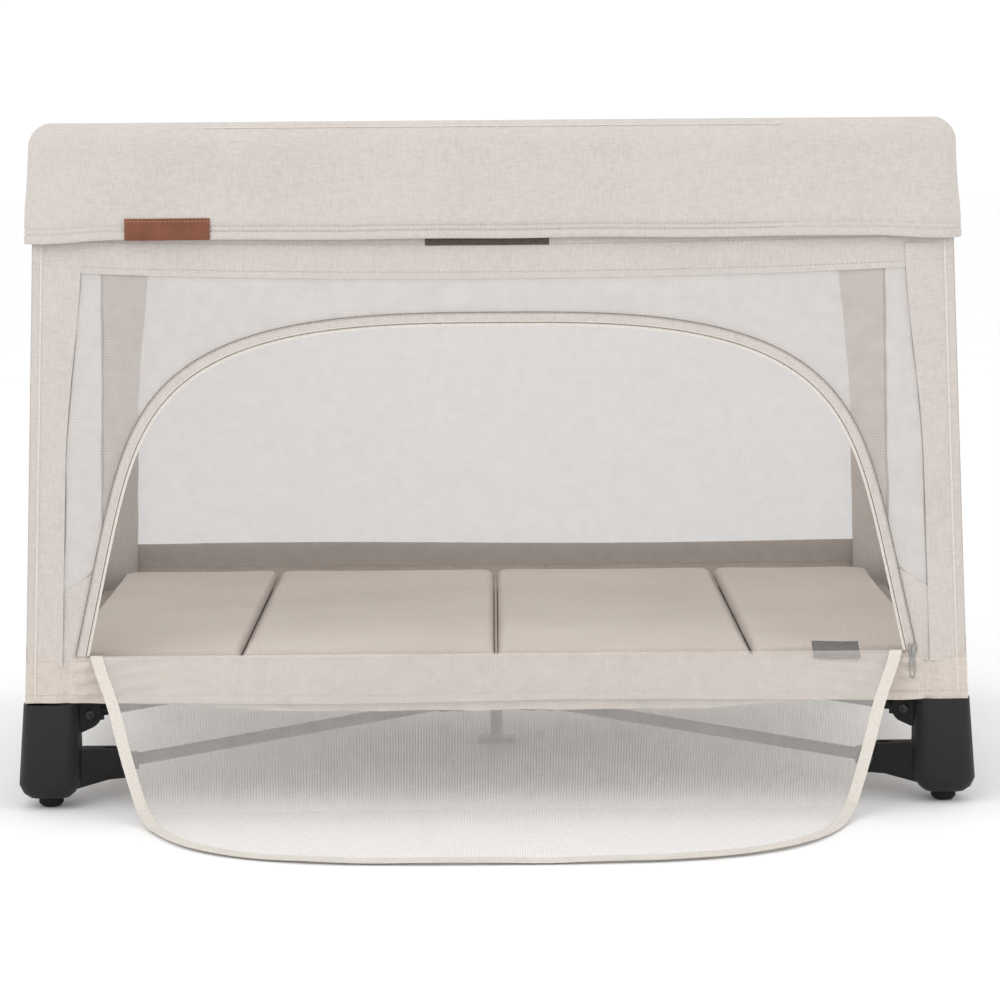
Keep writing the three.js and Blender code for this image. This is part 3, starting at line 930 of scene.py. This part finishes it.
# ---------------------------------------------------------------- door flap
hinge = Vector(JOINTS["door_swing"]["pos_m"])
bend = Vector(JOINTS["door_bend"]["pos_m"])
FLAP_EXTRA = 0.022  # the cloth lies a little further out than the CAD's stiff door
FAR_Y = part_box("door_lower")[0].y - FLAP_EXTRA
BEND_T = 0.175  # cut length from the sewn edge to the bend
FLOOR_Z = 0.0016


def flap_profile(t):
    """Place (y, z) of the flap's middle line at cut length t from its sewn edge."""
    if t <= BEND_T:
        s = t / BEND_T
        reach = 1 - (1 - s) ** 1.35
        y = hinge.y + (bend.y - hinge.y) * (0.55 * s + 0.45 * reach)
        z = hinge.z + (bend.z - hinge.z) * (s - 0.06 * math.sin(math.pi * s))
        return y, z
    s = (t - BEND_T) / (DOOR_HEIGHT - BEND_T)
    y = bend.y + (FAR_Y - bend.y) * s
    z = FLOOR_Z + (bend.z - FLOOR_Z) * (1 - smooth(s, 0, 0.22))
    return y, z


def flap_point(u, t):
    y, z = flap_profile(t)
    u *= 1 - 0.02 * smooth(t, 0, 0.09) - 0.05 * smooth(t, 0.07, 0.28)
    depth = smooth(t, 0.02, 0.16) * (1 - smooth(t, 0.16, 0.26))
    y += 0.010 * depth * ripple(u, 0, 0, 0.16, 8.0)
    lying = smooth(t, BEND_T + 0.01, BEND_T + 0.05)
    z += lying * 0.0022 * (1 + ripple(u, t, 0, 0.09, 2.0))
    return Vector((u, y, max(z, FLOOR_Z)))


def make_flap():
    inset = 0.008
    for part, t0, t1, rows in (("upper", 0.0, BEND_T, 26), ("lower", BEND_T, DOOR_HEIGHT - inset, 34)):
        shares = np.linspace(0, 1, rows)
        cuts = t0 + (t1 - t0) * (shares if part == "upper" else 1 - (1 - shares) ** 1.8)
        grid = point_grid(cuts, np.linspace(-1, 1, 80),
                          lambda t, c: flap_point((door_half(t) - inset) * c, t))
        piece = net_sheet(f"door_net_{part}", grid, FLAP_NET_PAINTED_LIGHT)
        on_wall(piece, "front", f"door_{part}")
        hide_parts(f"door_{part}")
    make_flap_tape()


def make_flap_tape():
    """Binding round the flap's free edge, split at the bend line."""
    edge = arch_line(-0.0065, 240)
    cut = []
    for (u, z), (u_next, z_next) in zip(edge, edge[1:]):
        t, t_next = z - DOOR_LOW, z_next - DOOR_LOW
        cut.append((u, t))
        if (t - BEND_T) * (t_next - BEND_T) < 0:
            share = (BEND_T - t) / (t_next - t)
            cut.append((u + (u_next - u) * share, BEND_T))
    cut = np.array(cut + [(edge[-1][0], edge[-1][1] - DOOR_LOW)])
    tangents = np.gradient(cut, axis=0)
    tangents /= np.maximum(np.linalg.norm(tangents, axis=1, keepdims=True), 1e-9)
    normals = np.column_stack([tangents[:, 1], -tangents[:, 0]])
    low_part = cut[:, 1] <= BEND_T + 1e-9
    for name, chosen in (
        ("left", low_part & (cut[:, 0] < 0)),
        ("right", low_part & (cut[:, 0] > 0)),
        ("front", cut[:, 1] >= BEND_T - 1e-9),
    ):
        width, thickness = 0.0135, 0.0022
        rows = [cut[chosen] + normals[chosen] * width * share for share in np.linspace(0, 1, 5)]
        grid = np.array([[flap_point(u, max(t, 0.0)) for u, t in row] for row in rows])
        piece = cloth(f"door_tape_{name}", grid, TAPE, thickness)
        low = min(v.co.z for v in piece.data.vertices)
        if low < 0.0002:
            piece.data.transform(Matrix.Translation((0, 0, 0.0002 - low)))
        on_wall(piece, "front", "door_lower" if name == "front" else "door_upper")


# ---------------------------------------------------------------- mattress and floor
PAD_REACH = 0.010  # outer panels end this much nearer the side walls than in the CAD
PAD_PRESS = 1.025  # widens each panel, so that neighbours press against each other


def panel_shape(x, y, half_x, half_y):
    """Crown of a mattress panel: 0 at its edges and 1 in the middle."""
    edge_x = 1 - abs(x / half_x) ** 12
    edge_y = 1 - abs(y / half_y) ** 26
    return max(0.0, edge_x) ** 0.5 * max(0.0, edge_y) ** 0.5


def swell(piece, cap, voxel=0.006):
    """Cloth simulation with pressure; no point moves further than cap."""
    scene = bpy.context.scene
    bpy.context.view_layer.objects.active = piece
    remesh = piece.modifiers.new("even", "REMESH")
    remesh.mode, remesh.voxel_size = "VOXEL", voxel
    bpy.ops.object.modifier_apply(modifier=remesh.name)
    rest = np.array([v.co for v in piece.data.vertices])
    sim = piece.modifiers.new("pad", "CLOTH")
    sim.settings.use_pressure = True
    sim.settings.uniform_pressure_force = 4
    sim.settings.effector_weights.gravity = 0
    sim.settings.quality = 4
    sim.point_cache.frame_start, sim.point_cache.frame_end = 1, 20
    scene.frame_start, scene.frame_end = 1, 20
    for step in range(1, 21):
        scene.frame_set(step)
    graph = bpy.context.evaluated_depsgraph_get()
    moved = np.array([v.co for v in piece.evaluated_get(graph).data.vertices])
    piece.modifiers.remove(sim)
    scene.frame_set(1)
    shift = (moved - rest) * (0.2, 0.2, 1.0)
    length = np.linalg.norm(shift, axis=1, keepdims=True)
    rest += shift * np.minimum(1.0, cap / np.maximum(length, 1e-9))
    piece.data.vertices.foreach_set("co", rest.astype(np.float32).ravel())
    piece.data.update()


def make_mattress_panel(index):
    node = f"mattress_panel_{index}"
    low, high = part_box(node)
    outer = {1: -1, 4: 1}.get(index, 0)  # the outer panels reach nearly to the side walls
    low.x, high.x = low.x - PAD_REACH * (outer < 0), high.x + PAD_REACH * (outer > 0)
    round_off = 0.030
    centre = (low + high) / 2
    half_x, half_y = (high.x - low.x) / 2 - 0.0003, (high.y - low.y) / 2 - 0.003

    def place(v, u):
        x, y = half_x * u, half_y * v
        crown = panel_shape(x, y, half_x, half_y)
        pull = 0.004 * abs(v) ** 6 * (1 - u * u)
        deep = max(0.0, abs(y) - half_y + round_off)
        inset = (round_off - math.sqrt(round_off ** 2 - deep ** 2)) * (1 + outer * u) / 2
        px = centre.x + x - outer * inset
        py = centre.y + y - math.copysign(pull, v)
        lift = 0.0012 * ripple(px, py, 0, 0.13, 3.0) + 0.0005 * ripple(px, py, 0, 0.03, 1.0)
        return (px, py, centre.z + (0.0150 + lift) * crown, centre.z - 0.0105 * crown)

    grid = point_grid(np.linspace(-1, 1, 71), np.linspace(-1, 1, 41), place)
    piece = shell(f"mattress_pad_{index}", grid[..., :3], grid[..., [0, 1, 3]], QUILT)
    swell(piece, 0.003)
    piece.data.shade_smooth()
    for vertex in piece.data.vertices:
        vertex.co.x = centre.x + (vertex.co.x - centre.x) * PAD_PRESS
        vertex.co.x = min(max(vertex.co.x, low.x), high.x)
        vertex.co.z = min(max(vertex.co.z, low.z), high.z - 0.0004)
    on_body(piece, f"mattress_{index}")
    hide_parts(node)
    path = []
    for sx, sy, start in ((-1, -1, 180), (1, -1, 270), (1, 1, 0), (-1, 1, 90)):
        for i in range(7):
            angle = math.radians(start + 15 * i)
            curve = round_off if sx == outer else 0.004
            path.append((centre.x + sx * (half_x - curve) + curve * math.cos(angle),
                         centre.y + sy * (half_y - curve) + curve * math.sin(angle), centre.z - 0.001))
    piping = tube(f"mattress_piping_{index}", path, 0.0010, QUILT, 8, closed=True)
    on_body(piping, f"mattress_{index}")


def make_floor_cloth():
    """The base cloth in four gores, each on its brace, which close like an umbrella."""
    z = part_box("mattress_panel_1")[0].z - 0.0035
    reach_x, reach_y = post_x(z) + 0.0115, post_y(z) + 0.0115
    notch = 0.030  # room left round each post
    for name, (sx, sy) in CORNERS.items():
        def place(r, c):
            x, y = sx * reach_x * r, sy * reach_y * c
            if r > 0.93 and c > 0.90:
                x, y = sx * min(abs(x), reach_x - notch), sy * min(abs(y), reach_y - notch)
            return (x, y, z + 0.0012 * ripple(x, y, 0, 0.09))

        shares = np.linspace(0, 1, 16)
        piece = cloth(f"floor_cloth_{name}", point_grid(shares, shares, place), BAND, 0.0010)
        on_body(piece, f"brace_{name}")
        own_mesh(piece)


# ---------------------------------------------------------------- hard parts
def finish_hard_parts():
    """Better materials and softened edges on the CAD nodes that stay."""
    finishes = {"moulded_black": PLASTIC, "rubber_pad": RUBBER, "frame_tube": TUBE, "zip_metal": NICKEL}
    for row in frame["record"]["subparts"]:
        finish = finishes.get(row["material_slot"])
        if finish is None:
            continue
        node = frame["nodes"][row["node"]]
        if not node.material_slots:
            node.data.materials.append(finish)
        for slot in node.material_slots:
            slot.material = finish
        weld = node.modifiers.new("weld", "WELD")
        weld.merge_threshold = 0.00005
        bevel = node.modifiers.new("edge", "BEVEL")
        bevel.width, bevel.segments, bevel.limit_method = 0.0011, 3, "ANGLE"
        bevel.angle_limit = math.radians(32)
        bevel.harden_normals = True
        node.data.shade_smooth()


EAR_REACH = math.hypot(0.5, 0.345) - 0.042  # from the hub's axis to the pivot in a foot's ear
EAR_HEIGHT = 0.100
SCREW_FACE = 0.0139  # from the pivot to the face that the screw sits on
SCREW_SIDES = 18
SCREW = [(0.0, 0.0006), (0.0022, 0.0006), (0.0024, 0.0020), (0.0046, 0.0020),
         (0.0056, 0.0012), (0.0058, -0.0005)]  # (radius, height) from the socket outwards


def make_screw(name, face, out):
    """Head of a socket-head screw at face, which points along out."""
    up = Vector((0, 0, 1))
    flat = up.cross(out)
    points = [face + out * SCREW[0][1]]
    for radius, height in SCREW[1:]:
        for i in range(SCREW_SIDES):
            a = 2 * math.pi * i / SCREW_SIDES
            points.append(face + out * height + radius * (flat * math.cos(a) + up * math.sin(a)))
    faces = [(0, 1 + i, 1 + (i + 1) % SCREW_SIDES) for i in range(SCREW_SIDES)]
    for r in range(len(SCREW) - 2):
        faces += ring_faces(1 + r * SCREW_SIDES, 1 + (r + 1) * SCREW_SIDES, SCREW_SIDES)
    return make_mesh(name, points, faces, STEEL, 35)


def make_screws():
    """Screws on both faces of each foot's ear and arm end."""
    for name, (sx, sy) in CORNERS.items():
        for kind in ("arm", "ear"):
            along = Vector((sx * abs(arm.x), sy * abs(arm.y), 0)).normalized()
            centre = Vector(JOINTS[f"fold_post_{name}"]["pos_m"])
            if kind == "ear":
                centre = Vector((0, 0, EAR_HEIGHT)) + along * EAR_REACH
            for end, side in (("a", -1), ("b", 1)):
                out = along.cross(Vector((0, 0, 1))) * side
                screw = make_screw(f"screw_{kind}_{name}_{end}", centre + out * SCREW_FACE, out)
                on_body(screw, f"corner_{name}")


make_covers()
make_cover_trim()
make_patch()
for wall_side in ("rear", "left", "right"):
    make_closed_wall(wall_side)
make_corner_panels()
make_post_sleeves()
make_front_wall()
make_front_band()
make_front_extras()
make_slider()
make_flap()
for panel_index in range(1, 5):
    make_mattress_panel(panel_index)
make_floor_cloth()
finish_hard_parts()
make_screws()

bpy.context.view_layer.update()
